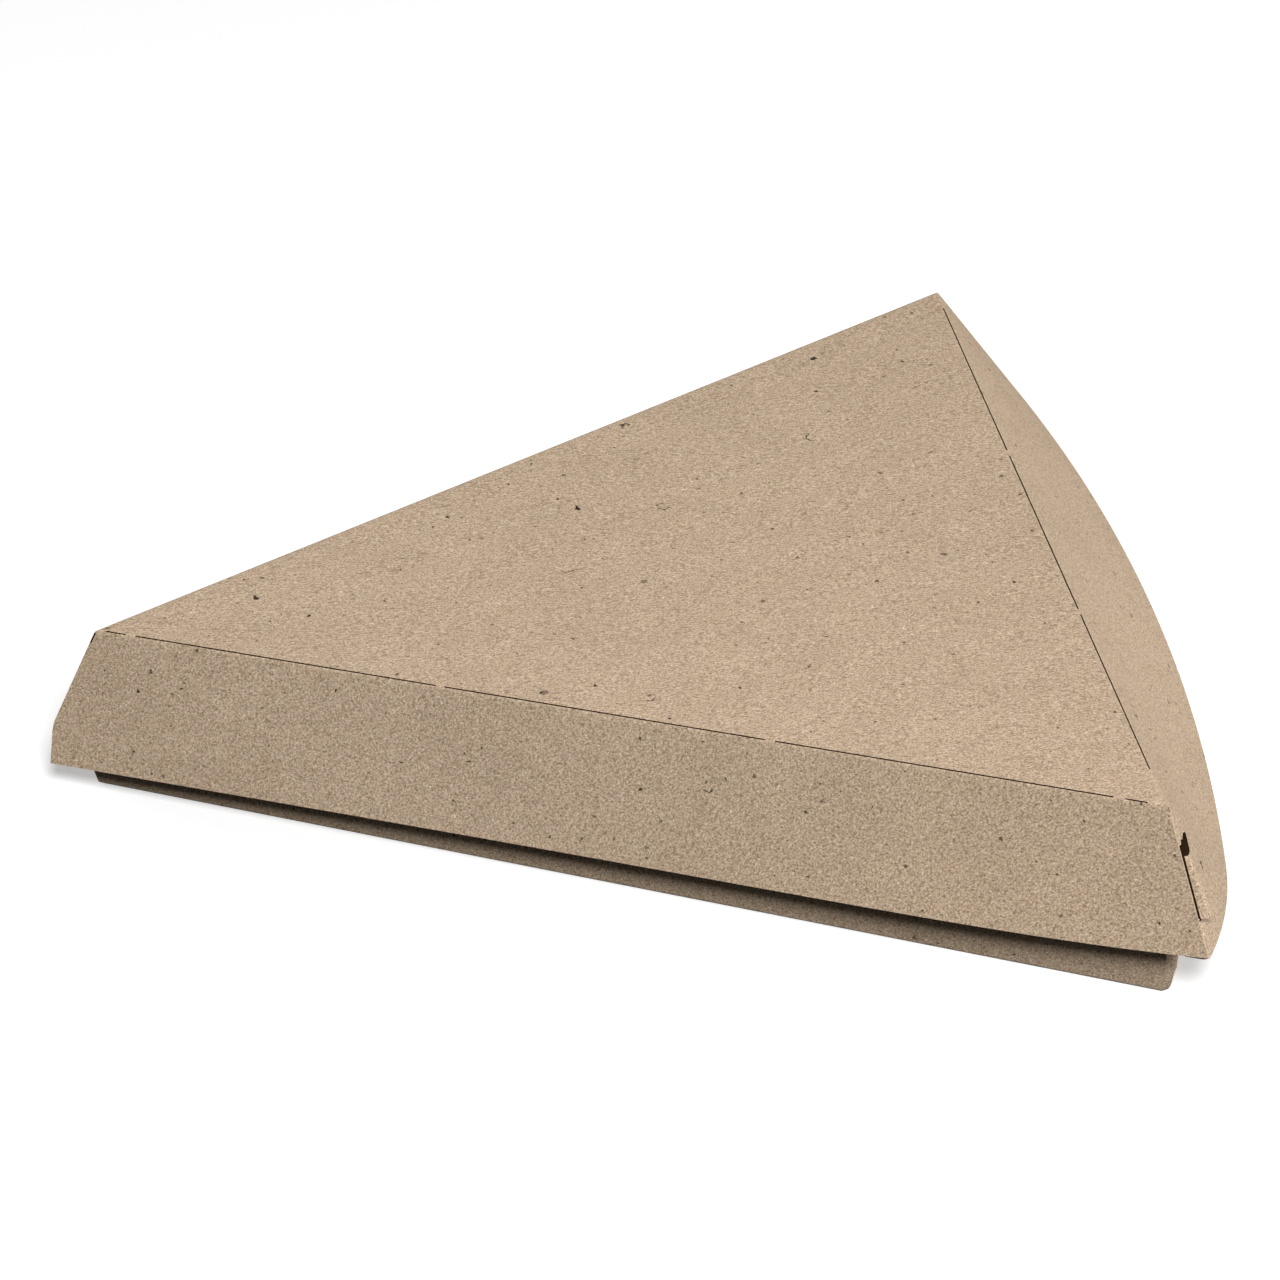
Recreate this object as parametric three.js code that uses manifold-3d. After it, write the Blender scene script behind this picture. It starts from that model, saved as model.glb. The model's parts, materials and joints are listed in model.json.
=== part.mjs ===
// Pizza slice box: one die-cut sheet of kraft board folded into a tray and a book-style lid.
// Millimetres, +Z up. The tip of the slice points to -X, the crust end to +X, the fold that
// joins the lid to the tray runs along the far (+Y) side, and the lid's front skirt is at -Y.

import * as THREE from 'three';
import { mergeVertices } from 'three/addons/utils/BufferGeometryUtils.js';
import Module from 'manifold-3d';

const wasm = await Module();
wasm.setup();

// Board
const boardThickness = 0.6;

// Lid panel, between the creases
const axisLength = 199;
const crustChord = 206.5;

// Heights above the table with the lid closed
const closedHeight = 38.2;
const hingeHeight = 16.1;
const trayHeight = 24;

// Lid walls
const skirtDepth = 30.6;
const sideFlareDeg = 12.5;
const cornerOverrun = 10.7;
const crustReach = 27.7;
const crustArcRadius = 545;
const crustArcShift = 17;
const nearBendLength = 30;
const farBendLength = 12;

// How far the lid stands open as it rests
const gapeDeg = 1.9;

// Tray walls
const trayLeanDeg = 1;
const nearClearance = 0.6;
const crustClearance = 1;
const crustFloorStep = 0.8;
const tipTaperStart = 2;
const tipTaperLength = 30;
const cornerTaperLength = 34;

// Hidden flaps that hold the corners
const cornerFlapLength = 24;
const tipFlapLength = 18;
const flapMargin = 1.2;
const flapSlope = 4;
const flapBond = 0.03;

// Lock slots and tabs at the lid's crust corners
const slotWidth = 1.5;
const slotInset = 3.2;
const slotTopDepth = 9.5;
const slotBottomDepth = 24.5;
const tabDepthTop = 12.5;
const tabDepthBottom = 23.5;
const traySlotBottom = 5.5;
const traySlotTop = 13.5;

// Gap left at the fold line, so that the two halves stay two solids
const hingeGap = 0.3;
const trimMargin = 0.05;
const cutReach = 60;

// Steps along the crust edge
const arcSteps = 18;
const bendSteps = 7;

const kraftColor = 0xb59f85;

const halfChord = crustChord / 2;
const sideAngle = Math.atan2(halfChord, axisLength);
const nearRun = new THREE.Vector2(Math.cos(sideAngle), -Math.sin(sideAngle));
const farRun = new THREE.Vector2(Math.cos(sideAngle), Math.sin(sideAngle));
const nearOut = new THREE.Vector2(-Math.sin(sideAngle), -Math.cos(sideAngle));
const farOut = new THREE.Vector2(-Math.sin(sideAngle), Math.cos(sideAngle));
const crustOut = new THREE.Vector2(1, 0);
const nearCorner = new THREE.Vector2(axisLength, -halfChord);
const farCorner = new THREE.Vector2(axisLength, halfChord);
const flare = Math.tan(THREE.MathUtils.degToRad(sideFlareDeg));
const sideWall = boardThickness / Math.cos(THREE.MathUtils.degToRad(sideFlareDeg));
const crustFlare = Math.atan2(crustReach, skirtDepth);
const crustWall = boardThickness / Math.cos(crustFlare);
const lidLip = closedHeight - skirtDepth;
const hingeDepth = closedHeight - hingeHeight;
const hingeOffset = flare * hingeDepth;

function along(from, run, distance, out, offset) {
  return from.clone().addScaledVector(run, distance).addScaledVector(out, offset);
}

// Where two offset lines cross; each line is all points with point . out = reach
function crossing(outA, reachA, outB, reachB) {
  const det = outA.x * outB.y - outA.y * outB.x;
  const x = (reachA * outB.y - reachB * outA.y) / det;
  const y = (outA.x * reachB - outB.x * reachA) / det;
  return new THREE.Vector2(x, y);
}

function sideCrossing(nearOffset, farOffset) {
  return crossing(nearOut, nearOffset, farOut, farOffset);
}

function crustCrossing(sideOut, sideOffset, crustOffset) {
  return crossing(sideOut, sideOffset, crustOut, axisLength + crustOffset);
}

// Arc that leaves start along tangent and ends at end; the start itself is left out
function tangentArc(start, tangent, end, steps) {
  const normal = new THREE.Vector2(-tangent.y, tangent.x);
  const chord = end.clone().sub(start);
  const radius = chord.lengthSq() / (2 * chord.dot(normal));
  const center = start.clone().addScaledVector(normal, radius);
  const sweep = 2 * Math.atan2(chord.dot(normal), chord.dot(tangent));
  const points = [];
  for (let i = 1; i <= steps; i += 1) {
    points.push(start.clone().rotateAround(center, (sweep * i) / steps));
  }
  return points;
}

// Lower edge of the crust skirt, near corner to far corner, and the foot of each ruling on the crease
function crustRulings() {
  const sideOffset = flare * skirtDepth;
  const nearEnd = along(nearCorner, nearRun, cornerOverrun, nearOut, sideOffset);
  const farEnd = along(farCorner, farRun, cornerOverrun, farOut, sideOffset);
  const center = new THREE.Vector2(axisLength + crustReach - crustArcRadius, crustArcShift);
  const angleAt = (y) => Math.asin((y - center.y) / crustArcRadius);
  const first = angleAt(nearEnd.y + nearBendLength);
  const last = angleAt(farEnd.y - farBendLength);
  const arc = [];
  const arcFeet = [];
  for (let i = 0; i <= arcSteps; i += 1) {
    const share = i / arcSteps;
    const angle = first + (last - first) * share;
    arc.push(new THREE.Vector2(Math.cos(angle), Math.sin(angle)).multiplyScalar(crustArcRadius).add(center));
    arcFeet.push(nearCorner.clone().lerp(farCorner, share));
  }
  const nearTangent = new THREE.Vector2(Math.sin(first), -Math.cos(first));
  const farTangent = new THREE.Vector2(-Math.sin(last), Math.cos(last));
  const nearBend = tangentArc(arc[0], nearTangent, nearEnd, bendSteps).reverse();
  const farBend = tangentArc(arc[arcSteps], farTangent, farEnd, bendSteps);
  return {
    edge: [...nearBend, ...arc, ...farBend],
    feet: [...nearBend.map(() => nearCorner), ...arcFeet, ...farBend.map(() => farCorner)],
  };
}

const crust = crustRulings();

// Crust skirt points at a depth below the lid panel
function crustRow(depth) {
  return crust.feet.map((foot, i) => foot.clone().lerp(crust.edge[i], depth / skirtDepth));
}

// Moves a crust row inwards. Each end moves with its corner, the points between share both moves
function insetCrustRow(row, nearInset, farInset, crustInset) {
  const nearMove = crossing(nearOut, -nearInset, crustOut, -crustInset);
  const farMove = crossing(farOut, -farInset, crustOut, -crustInset);
  return row.map((point, i) => {
    const share = (crust.feet[i].y + halfChord) / crustChord;
    return point.clone().add(nearMove.clone().lerp(farMove, share));
  });
}

function ring(tip, row, z) {
  return [tip, ...row].map((point) => new THREE.Vector3(point.x, point.y, z));
}

function solidFromTriangles(positions) {
  const raw = new THREE.BufferGeometry();
  raw.setAttribute('position', new THREE.Float32BufferAttribute(positions, 3));
  const merged = mergeVertices(raw, 1e-4);
  const index = merged.index.array;
  const triangles = [];
  for (let i = 0; i < index.length; i += 3) {
    const [a, b, c] = [index[i], index[i + 1], index[i + 2]];
    if (a !== b && b !== c && c !== a) {
      triangles.push(a, b, c);
    }
  }
  return new wasm.Manifold(new wasm.Mesh({
    numProp: 3,
    vertProperties: new Float32Array(merged.attributes.position.array),
    triVerts: new Uint32Array(triangles),
  }));
}

// Closed solid between two rings of as many points, both counter-clockwise seen from above
function loft(lower, upper) {
  const positions = [];
  const push = (...points) => points.forEach((p) => positions.push(p.x, p.y, p.z));
  const count = lower.length;
  for (let i = 0; i < count; i += 1) {
    const next = (i + 1) % count;
    push(lower[i], lower[next], upper[next]);
    push(lower[i], upper[next], upper[i]);
  }
  for (let i = 1; i < count - 1; i += 1) {
    push(lower[0], lower[i + 1], lower[i]);
    push(upper[0], upper[i], upper[i + 1]);
  }
  return solidFromTriangles(positions);
}

// Flat panel: corners counter-clockwise seen from outside, thickness going inwards
function panel(corners, thickness) {
  const normal = new THREE.Vector3()
    .crossVectors(corners[1].clone().sub(corners[0]), corners[2].clone().sub(corners[0]))
    .normalize();
  const inner = corners.map((corner) => corner.clone().addScaledVector(normal, -thickness));
  const positions = [];
  const push = (...points) => points.forEach((p) => positions.push(p.x, p.y, p.z));
  const count = corners.length;
  for (let i = 1; i < count - 1; i += 1) {
    push(corners[0], corners[i], corners[i + 1]);
    push(inner[0], inner[i + 1], inner[i]);
  }
  for (let i = 0; i < count; i += 1) {
    const next = (i + 1) % count;
    push(corners[i], inner[i], inner[next]);
    push(corners[i], inner[next], corners[next]);
  }
  return solidFromTriangles(positions);
}

function upright(points, z0, z1) {
  return loft(
    points.map((p) => new THREE.Vector3(p.x, p.y, z0)),
    points.map((p) => new THREE.Vector3(p.x, p.y, z1)),
  );
}

// Everything outside the hinge wall's inner face, between two heights
function hingeStrip(z0, z1) {
  const inner = hingeOffset - sideWall - trimMargin;
  return upright([
    along(new THREE.Vector2(), farRun, -cutReach, farOut, inner),
    along(farCorner, farRun, cutReach, farOut, inner),
    along(farCorner, farRun, cutReach, farOut, cutReach),
    along(new THREE.Vector2(), farRun, -cutReach, farOut, cutReach),
  ], z0, z1);
}

// Point on a side wall: distance along its crease from the tip, offset of its plane, height
function onSide(run, out, distance, offset, z) {
  const point = along(new THREE.Vector2(), run, distance, out, offset);
  return new THREE.Vector3(point.x, point.y, z);
}

function shell(outerLower, outerUpper, innerLower, innerUpper) {
  return loft(outerLower, outerUpper).subtract(loft(innerLower, innerUpper));
}

const sideLength = farCorner.length();

// A flap flat against the inside of a side wall; offsetAt gives the wall's outer offset by height
function sideFlap(run, out, offsetAt, start, end, zLow, zHigh) {
  const slope = Math.sign(end - start) * flapSlope;
  const inner = (z) => offsetAt(z) - sideWall + flapBond;
  const corners = [
    onSide(run, out, start, inner(zLow), zLow),
    onSide(run, out, end - slope, inner(zLow), zLow),
    onSide(run, out, end, inner(zLow + flapSlope), zLow + flapSlope),
    onSide(run, out, end, inner(zHigh - flapSlope), zHigh - flapSlope),
    onSide(run, out, end - slope, inner(zHigh), zHigh),
    onSide(run, out, start, inner(zHigh), zHigh),
  ];
  const facing = new THREE.Vector3()
    .crossVectors(corners[1].clone().sub(corners[0]), corners[5].clone().sub(corners[0]));
  if (facing.x * out.x + facing.y * out.y < 0) {
    corners.reverse();
  }
  return panel(corners, boardThickness + flapBond);
}

// Upright slot through the crust wall beside a corner, or the tab that bridges it
function crustStrip(end, sign, depthTop, depthBottom, inset, width, out, back) {
  const quad = (depth) => {
    const corner = end(depth);
    const lean = new THREE.Vector2(0, sign);
    const inward = inset;
    const a = corner.clone().addScaledVector(lean, inward);
    const b = corner.clone().addScaledVector(lean, inward + width);
    return [
      a.clone().addScaledVector(crustOut, -back),
      a.clone().addScaledVector(crustOut, out),
      b.clone().addScaledVector(crustOut, out),
      b.clone().addScaledVector(crustOut, -back),
    ];
  };
  const level = (depth) => {
    const points = quad(depth).map((p) => new THREE.Vector3(p.x, p.y, closedHeight - depth));
    return sign > 0 ? points : points.reverse();
  };
  return loft(level(depthBottom), level(depthTop));
}

const lidOffsetAt = (z) => flare * (closedHeight - z);

function makeLid() {
  const lowerOffset = flare * skirtDepth;
  const outerLower = ring(sideCrossing(lowerOffset, lowerOffset), crustRow(skirtDepth), lidLip);
  const outerUpper = ring(new THREE.Vector2(), crustRow(0), closedHeight);

  const cutDepth = skirtDepth + cornerOverrun;
  const innerOffset = flare * cutDepth - sideWall;
  const innerLower = ring(
    sideCrossing(innerOffset, innerOffset),
    insetCrustRow(crustRow(cutDepth), sideWall, sideWall, crustWall),
    closedHeight - cutDepth,
  );
  const ceilingOffset = flare * boardThickness - sideWall;
  const ceilingCrust = Math.tan(crustFlare) * boardThickness - crustWall;
  const ceilingNear = crustCrossing(nearOut, ceilingOffset, ceilingCrust);
  const ceilingFar = crustCrossing(farOut, ceilingOffset, ceilingCrust);
  const ceilingRow = crust.feet.map((foot) => {
    const share = (foot.y + halfChord) / crustChord;
    return ceilingNear.clone().lerp(ceilingFar, share);
  });
  const innerUpper = ring(
    sideCrossing(ceilingOffset, ceilingOffset),
    ceilingRow,
    closedHeight - boardThickness,
  );

  const ceiling = closedHeight - boardThickness - flapMargin;
  const hingeFloor = hingeHeight + hingeGap / 2;
  const flapEnd = sideLength - cornerFlapLength;
  const reach = sideLength + flare * (closedHeight - ceiling);
  const nearEnd = (depth) => nearCorner.clone().lerp(crust.edge[0], depth / skirtDepth);

  return shell(outerLower, outerUpper, innerLower, innerUpper)
    .add(sideFlap(nearRun, nearOut, lidOffsetAt, reach, flapEnd, lidLip + flapMargin, ceiling))
    .add(sideFlap(farRun, farOut, lidOffsetAt, reach, flapEnd, hingeFloor + flapMargin, ceiling))
    .add(sideFlap(farRun, farOut, lidOffsetAt, 0, tipFlapLength, hingeFloor + flapMargin, ceiling))
    .subtract(crustStrip(nearEnd, 1, slotTopDepth, slotBottomDepth, slotInset, slotWidth, cutReach / 4, slotInset))
    .add(crustStrip(nearEnd, 1, tabDepthTop, tabDepthBottom, 0, slotInset + boardThickness, boardThickness, 0))
    .subtract(hingeStrip(0, hingeFloor));
}

const trayRimOffset = flare * (closedHeight - trayHeight) - sideWall - boardThickness - nearClearance;
const trayFloorOffset = trayRimOffset - trayHeight * Math.tan(THREE.MathUtils.degToRad(trayLeanDeg));
const trayNearOffsetAt = (z) => trayFloorOffset + (trayRimOffset - trayFloorOffset) * (z / trayHeight);
const trayFarOffsetAt = (z) => trayFloorOffset + (hingeOffset - trayFloorOffset) * (z / hingeHeight);

function trayFloorRow() {
  const near = crustCrossing(nearOut, trayFloorOffset, crustFloorStep);
  const far = crustCrossing(farOut, trayFloorOffset, crustFloorStep);
  return crust.feet.map((foot) => near.clone().lerp(far, (foot.y + halfChord) / crustChord));
}

function trayRimRow() {
  const lidOffset = lidOffsetAt(trayHeight);
  return insetCrustRow(
    crustRow(closedHeight - trayHeight),
    lidOffset - trayRimOffset,
    lidOffset - trayFarOffsetAt(trayHeight),
    crustWall + crustClearance,
  );
}

function makeTray() {
  const floorRow = trayFloorRow();
  const rimRow = trayRimRow();
  const rowAt = (z) => floorRow.map((point, i) => point.clone().lerp(rimRow[i], z / trayHeight));
  const tipAt = (z, inset) => sideCrossing(trayNearOffsetAt(z) - inset, trayFarOffsetAt(z) - inset);
  const outerLower = ring(tipAt(0, 0), floorRow, 0);
  const outerUpper = ring(tipAt(trayHeight, 0), rimRow, trayHeight);
  const cutTop = trayHeight + boardThickness;
  const insideRing = (z) => ring(
    tipAt(z, sideWall),
    insetCrustRow(rowAt(z), sideWall, sideWall, boardThickness),
    z,
  );

  const hingeCeiling = hingeHeight - hingeGap / 2;
  const tip = tipAt(hingeHeight, 0);
  const tipTaper = loft(
    [
      new THREE.Vector3(tip.x - cutReach, -cutReach, hingeCeiling),
      new THREE.Vector3(tip.x + tipTaperStart, -cutReach, hingeCeiling),
      new THREE.Vector3(tip.x + tipTaperStart, cutReach, hingeCeiling),
      new THREE.Vector3(tip.x - cutReach, cutReach, hingeCeiling),
    ],
    [
      new THREE.Vector3(tip.x - cutReach, -cutReach, cutTop),
      new THREE.Vector3(tip.x + tipTaperLength, -cutReach, cutTop),
      new THREE.Vector3(tip.x + tipTaperLength, cutReach, cutTop),
      new THREE.Vector3(tip.x - cutReach, cutReach, cutTop),
    ],
  );
  const taperInside = axisLength - cornerFlapLength;
  const cornerTaper = loft(
    [
      new THREE.Vector3(taperInside, farCorner.y, hingeCeiling),
      new THREE.Vector3(axisLength + cutReach, farCorner.y, hingeCeiling),
      new THREE.Vector3(axisLength + cutReach, farCorner.y + cutReach, hingeCeiling),
      new THREE.Vector3(taperInside, farCorner.y + cutReach, hingeCeiling),
    ],
    [
      new THREE.Vector3(taperInside, farCorner.y - cornerTaperLength, cutTop),
      new THREE.Vector3(axisLength + cutReach, farCorner.y - cornerTaperLength, cutTop),
      new THREE.Vector3(axisLength + cutReach, farCorner.y + cutReach, cutTop),
      new THREE.Vector3(taperInside, farCorner.y + cutReach, cutTop),
    ],
  );

  const floorTop = boardThickness + flapMargin;
  const flapEnd = sideLength - cornerFlapLength;
  const nearEnd = (depth) => {
    const z = closedHeight - depth;
    return floorRow[0].clone().lerp(rimRow[0], z / trayHeight);
  };
  return shell(outerLower, outerUpper, insideRing(boardThickness), insideRing(cutTop))
    .add(sideFlap(nearRun, nearOut, trayNearOffsetAt, sideLength, flapEnd, floorTop, trayHeight - flapMargin))
    .add(sideFlap(farRun, farOut, trayFarOffsetAt, sideLength, flapEnd, floorTop, hingeCeiling - flapMargin))
    .add(sideFlap(farRun, farOut, trayFarOffsetAt, 0, tipFlapLength, floorTop, hingeCeiling - flapMargin))
    .subtract(crustStrip(
      nearEnd, 1, closedHeight - traySlotTop, closedHeight - traySlotBottom, slotWidth, slotWidth, cutReach / 4, slotWidth,
    ))
    .subtract(hingeStrip(hingeCeiling, cutTop))
    .subtract(tipTaper)
    .subtract(cornerTaper);
}

function meshFrom(solid, name) {
  const result = solid.getMesh();
  const geometry = new THREE.BufferGeometry();
  geometry.setAttribute('position', new THREE.BufferAttribute(result.vertProperties, 3));
  geometry.setIndex(new THREE.BufferAttribute(result.triVerts, 1));
  geometry.computeVertexNormals();
  const material = new THREE.MeshStandardMaterial({ color: kraftColor, roughness: 0.9, metalness: 0 });
  const mesh = new THREE.Mesh(geometry, material);
  mesh.name = name;
  return mesh;
}

const tray = meshFrom(makeTray(), 'tray');
const lid = meshFrom(makeLid(), 'lid');

// The lid stands a little open: it is turned about the fold line
const hingePoint = onSide(farRun, farOut, 0, hingeOffset, hingeHeight);
const openingAxis = new THREE.Vector3(-farRun.x, -farRun.y, 0);
const lidSwing = new THREE.Group();
lidSwing.position.copy(hingePoint);
lidSwing.quaternion.setFromAxisAngle(openingAxis, THREE.MathUtils.degToRad(gapeDeg));
lid.position.copy(hingePoint).negate();
lidSwing.add(lid);

// The origin is under the middle of the whole box, on the table
const group = new THREE.Group();
group.add(tray, lidSwing);
const bounds = new THREE.Box3().setFromObject(group);
const middle = bounds.getCenter(new THREE.Vector3());
group.position.set(-middle.x, -middle.y, -bounds.min.z);

export default group;
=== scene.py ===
import json
from math import asin, atan2, cos, log, pi, radians, sin, tan

import bmesh
import bpy
from mathutils import Matrix, Vector


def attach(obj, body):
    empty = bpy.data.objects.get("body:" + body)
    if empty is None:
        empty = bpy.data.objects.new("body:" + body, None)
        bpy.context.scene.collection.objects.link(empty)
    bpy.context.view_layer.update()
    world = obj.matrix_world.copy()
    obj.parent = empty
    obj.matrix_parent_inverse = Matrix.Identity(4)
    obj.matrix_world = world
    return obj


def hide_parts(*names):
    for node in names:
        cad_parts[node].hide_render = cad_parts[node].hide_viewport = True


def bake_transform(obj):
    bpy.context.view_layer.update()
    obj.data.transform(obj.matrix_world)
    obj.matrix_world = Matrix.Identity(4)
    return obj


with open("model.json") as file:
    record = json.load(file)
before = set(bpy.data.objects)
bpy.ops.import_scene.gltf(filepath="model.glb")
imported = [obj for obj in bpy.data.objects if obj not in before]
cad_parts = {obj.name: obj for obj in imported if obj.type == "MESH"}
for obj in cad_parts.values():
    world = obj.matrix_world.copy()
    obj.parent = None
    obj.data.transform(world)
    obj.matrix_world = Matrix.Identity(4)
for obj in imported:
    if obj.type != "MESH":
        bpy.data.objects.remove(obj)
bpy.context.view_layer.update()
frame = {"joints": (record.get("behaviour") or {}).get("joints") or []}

mm = 0.001

# One die-cut sheet of kraft board, folded. Sizes are in millimetres and the lid is drawn as if
# shut, with the tip of the slice at x = 0 and the crust crease at x = axisLength.
sheetForm = {
    "board": 0.6,
    "axisLength": 199,
    "crustChord": 206.5,
    "closedHeight": 38.2,
    "hingeHeight": 16.1,
    "foldRadius": 0.7,
    "foldSteps": 4,
    "faceInset": 1,         # band of faces around a flat face, which keeps it flat when shaded
    "mergeReach": 0.02,
    "flatSlack": 1e-4,
    "thicknessClamp": 1.2,
    "smoothDeg": 35,
}

lidForm = {
    "skirtDepth": 30.6,
    "sideFlareDeg": 12.5,
    "cornerOverrun": 10.7,
    "crustReach": 27.7,
    "crustArcRadius": 545,
    "crustArcShift": 17,
    "crustSteps": 36,
    "nearSteps": 40,
    "farSteps": 24,
    "nearBendLength": 30,
    "farBendLength": 12,
    "bendSteps": 10,
    "gapeDeg": 1.9,
    "farDepth": 21.42,      # the far wall ends here, where the fold strip takes over
    "farClearance": 0.15,
    "lipBow": 1.3,          # how far the near lip bellies out between its ends
    "lipBowPeak": 0.8,      # where along the lip the belly is deepest
    "lipRise": 1.0,         # how much the near lip rises again at the crust corner
    "lipRisePower": 10,
    "tipCut": (-11.9, -1.5),  # lower end of the near skirt at the tip
    "tipSlitShadeShare": 0.0018,      # share of the near wall at the tip whose top is painted with shade, standing in for a slit
    "tipSlitShadeDepth": 3,
    "cutReach": 1.2,        # raw edges this close to the top are walls of a crease cut, and get painted shade
    "tuckGap": 0.12,
    "tuckRun": 3,
    "tuckRadius": 1.7,
    "tuckSteps": 4,
    "tuckDepth": 6,         # the tuck and the slot grow from nothing over this depth
    "searchStep": 0.25,
    "searchSteps": 40,
    "cornerSteps": 8,
    "cornerCrowding": 1.3,  # above 1, the corner's columns crowd towards the slot
    "flapDepths": (3, 28),
    "flapLength": 21,
    "flapSlope": 4,
    "flapInset": 1.25,
    "farFlaps": [(0.99, 0.89), (0.015, 0.085)],  # root and free end, as shares of the far wall
    "farFlapBottom": 18.5,
    "farFlapTopGap": 2,
}

# Cuts along the creases, as shares of the crease, with a short bridge left between them
creaseCuts = {
    "near": [(0.0075, 0.027), (0.037, 0.3295), (0.3375, 0.638), (0.6475, 0.954), (0.964, 0.984)],
    "crust": [(0.06, 0.335), (0.345, 0.646), (0.657, 0.965)],
}

board = sheetForm["board"]
axisLength = sheetForm["axisLength"]
halfChord = sheetForm["crustChord"] / 2
closedHeight = sheetForm["closedHeight"]
hingeHeight = sheetForm["hingeHeight"]
skirtDepth = lidForm["skirtDepth"]
hingeDepth = closedHeight - hingeHeight
sideAngle = atan2(halfChord, axisLength)
flare = tan(radians(lidForm["sideFlareDeg"]))
sideWall = board / cos(radians(lidForm["sideFlareDeg"]))
crustWall = board / cos(atan2(lidForm["crustReach"], skirtDepth))
hingeOffset = flare * hingeDepth
foldRadius = sheetForm["foldRadius"]

nearRun = Vector((cos(sideAngle), -sin(sideAngle)))
farRun = Vector((cos(sideAngle), sin(sideAngle)))
nearOut = Vector((-sin(sideAngle), -cos(sideAngle)))
farOut = Vector((-sin(sideAngle), cos(sideAngle)))
crustOut = Vector((1, 0))
nearCorner = Vector((axisLength, -halfChord))
farCorner = Vector((axisLength, halfChord))

# Material slots of every piece: the board's face, its raw edge, and painted shade for the dark walls of cuts,
# slits and gaps
faceSlot, rimSlot, paintedShadeSlot = 0, 1, 2

# The hinge joint of the frame gives the place of everything
hinge = frame["joints"][0]
hingePoint = Vector(hinge["pos_m"])
openingAxis = Vector(hinge["axis"])
hingeInSheet = Vector((farOut.x * hingeOffset, farOut.y * hingeOffset, hingeHeight)) * mm
trayPlace = Matrix.Translation(hingePoint - hingeInSheet) @ Matrix.Scale(mm, 4)
lidPlace = (
    Matrix.Translation(hingePoint)
    @ Matrix.Rotation(radians(lidForm["gapeDeg"]), 4, openingAxis)
    @ Matrix.Translation(-hingeInSheet)
    @ Matrix.Scale(mm, 4)
)


# Points in plan are 2D, and at() lifts them to a height
def crossing(outA, reachA, outB, reachB):
    det = outA.x * outB.y - outA.y * outB.x
    return Vector(((reachA * outB.y - reachB * outA.y) / det, (outA.x * reachB - outB.x * reachA) / det))


def sideCrossing(nearOffset, farOffset):
    return crossing(nearOut, nearOffset, farOut, farOffset)


def crustCrossing(sideOut, sideOffset, crustOffset):
    return crossing(sideOut, sideOffset, crustOut, axisLength + crustOffset)


def at(point, z):
    return Vector((point.x, point.y, z))


def spread(first, last, steps):
    return [first + (last - first) * i / steps for i in range(steps + 1)]


def clamp(value):
    return min(1, max(0, value))


def middles(shares):
    return [(a + b) / 2 for a, b in zip(shares, shares[1:])]


def rowLength(row):
    return sum((b - a).length for a, b in zip(row, row[1:]))


def walk(row, distance):
    for a, b in zip(row, row[1:]):
        step = (b - a).length
        if distance <= step:
            return a.lerp(b, distance / step) if step else a.copy()
        distance -= step
    return row[-1].copy()


def walkShare(row, share):
    return walk(row, rowLength(row) * share)


def cutShares(side, steps):
    cuts = [share for pair in creaseCuts[side] for share in pair]
    return spread(0, 1, steps) + cuts


def isCut(side, share):
    return any(first < share < last for first, last in creaseCuts[side])


# Arc that leaves start along tangent and ends at end; the start itself is left out
def tangentArc(start, tangent, end, steps):
    side = Vector((-tangent.y, tangent.x))
    chord = end - start
    radius = chord.length_squared / (2 * chord.dot(side))
    center = start + side * radius
    sweep = 2 * atan2(chord.dot(side), chord.dot(tangent))
    turns = [Matrix.Rotation(sweep * i / steps, 2) for i in range(1, steps + 1)]
    return [center + turn @ (start - center) for turn in turns]


# Lower edge of the crust skirt, from the near corner to the far one, with each ruling's foot
def crustRulings():
    low = flare * skirtDepth
    nearEnd = nearCorner + nearRun * lidForm["cornerOverrun"] + nearOut * low
    farEnd = farCorner + farRun * lidForm["cornerOverrun"] + farOut * low
    radius = lidForm["crustArcRadius"]
    center = Vector((axisLength + lidForm["crustReach"] - radius, lidForm["crustArcShift"]))
    first = asin((nearEnd.y + lidForm["nearBendLength"] - center.y) / radius)
    last = asin((farEnd.y - lidForm["farBendLength"] - center.y) / radius)
    shares = sorted(set(cutShares("crust", lidForm["crustSteps"])))
    arc = [center + Vector((cos(a), sin(a))) * radius for a in (first + (last - first) * s for s in shares)]
    nearBend = tangentArc(arc[0], Vector((sin(first), -cos(first))), nearEnd, lidForm["bendSteps"])[::-1]
    farBend = tangentArc(arc[-1], Vector((-sin(last), cos(last))), farEnd, lidForm["bendSteps"])
    feet = [0] * len(nearBend) + shares + [1] * len(farBend)
    return nearBend + arc + farBend, feet


crustEdge, crustShares = crustRulings()
mainStart = crustShares.index(0) + lidForm["bendSteps"]


def lidCrustRow(depth):
    feet = [nearCorner.lerp(farCorner, s) for s in crustShares]
    return [foot.lerp(edge, depth / skirtDepth) for foot, edge in zip(feet, crustEdge)]


def insetCrustRow(row, nearInset, farInset, crustInset):
    nearMove = crossing(nearOut, -nearInset, crustOut, -crustInset)
    farMove = crossing(farOut, -farInset, crustOut, -crustInset)
    return [point + nearMove.lerp(farMove, share) for point, share in zip(row, crustShares)]


# Rounded fold between the flat face and a wall, as a curve with its corner at the crease
def foldPoint(inner, crease, outer, t):
    return inner * (1 - t) ** 2 + crease * 2 * t * (1 - t) + outer * t ** 2


def never(column, row):
    return False
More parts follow.
